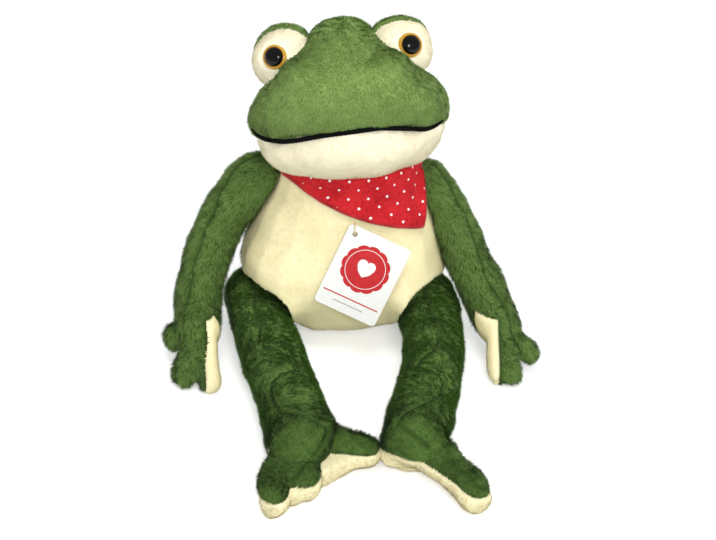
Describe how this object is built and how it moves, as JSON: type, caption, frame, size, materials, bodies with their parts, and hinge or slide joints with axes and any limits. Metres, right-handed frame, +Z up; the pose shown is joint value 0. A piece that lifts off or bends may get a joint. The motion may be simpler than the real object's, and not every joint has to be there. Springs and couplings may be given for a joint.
{
  "type": "plush frog",
  "caption": "Seated plush frog with turning head, swinging arms and legs, spotted neckerchief and a hang tag.",
  "frame": {"origin": "on the floor under the middle of the seat", "axes": "+Z up, the frog faces -Y, its left is +X"},
  "size_m": [0.2604, 0.3182, 0.2241],
  "materials": {
    "green_plush": "matte",
    "head_plush": "matte",
    "cream_plush": "matte",
    "stuffing": "matte",
    "red_cloth": "matte",
    "black_cord": "matte",
    "amber_eye": "gloss",
    "black_eye": "gloss",
    "washer_plastic": "matte",
    "tag_card": "satin",
    "gold_thread": "satin"
  },
  "bodies": {
    "torso": {"back_panel": "green_plush", "belly_panel": "cream_plush", "torso_filling": "stuffing", "neckerchief": "red_cloth", "neckerchief_knot": "red_cloth"},
    "head": {"head_top_panel": "head_plush", "jaw_panel": "cream_plush", "head_filling": "stuffing", "mouth_cord": "black_cord", "left_eye_mound": "cream_plush", "left_eyelid": "head_plush", "left_eye_iris": "amber_eye", "left_eye_pupil": "black_eye", "left_eye_washer": "washer_plastic", "right_eye_mound": "cream_plush", "right_eyelid": "head_plush", "right_eye_iris": "amber_eye", "right_eye_pupil": "black_eye", "right_eye_washer": "washer_plastic"},
    "tag": {"tag_card": "tag_card", "tag_thread": "gold_thread"},
    "left_arm": {"left_arm_sleeve": "green_plush", "left_palm": "cream_plush", "left_arm_filling": "stuffing"},
    "left_leg": {"left_leg_sleeve": "green_plush", "left_sole": "cream_plush", "left_leg_filling": "stuffing"},
    "right_arm": {"right_arm_sleeve": "green_plush", "right_palm": "cream_plush", "right_arm_filling": "stuffing"},
    "right_leg": {"right_leg_sleeve": "green_plush", "right_sole": "cream_plush", "right_leg_filling": "stuffing"}
  },
  "joints": [
    {"name": "head_turn", "type": "hinge", "parent": "torso", "child": "head", "pos_m": [0.0078, -0.00458, 0.13], "axis": [0, 0, 1], "range_deg": [-30, 30]},
    {"name": "left_arm_swing", "type": "hinge", "parent": "torso", "child": "left_arm", "pos_m": [0.05824, 0, 0.104], "axis": [-0.9397, 0, -0.342], "range_deg": [-35, 60]},
    {"name": "left_leg_swing", "type": "hinge", "parent": "torso", "child": "left_leg", "pos_m": [0.06, -0.012, 0.021], "axis": [-1, 0, 0], "range_deg": [-90, 4]},
    {"name": "right_arm_swing", "type": "hinge", "parent": "torso", "child": "right_arm", "pos_m": [-0.04546, 0, 0.109], "axis": [-0.9397, 0, 0.342], "range_deg": [-35, 60]},
    {"name": "right_leg_swing", "type": "hinge", "parent": "torso", "child": "right_leg", "pos_m": [-0.06, -0.012, 0.021], "axis": [-1, 0, 0], "range_deg": [-90, 4]},
    {"name": "tag_lift", "type": "hinge", "parent": "torso", "child": "tag", "pos_m": [0.0115, -0.05554, 0.09984], "axis": [-1, 0, 0], "range_deg": [0, 75]}
  ]
}
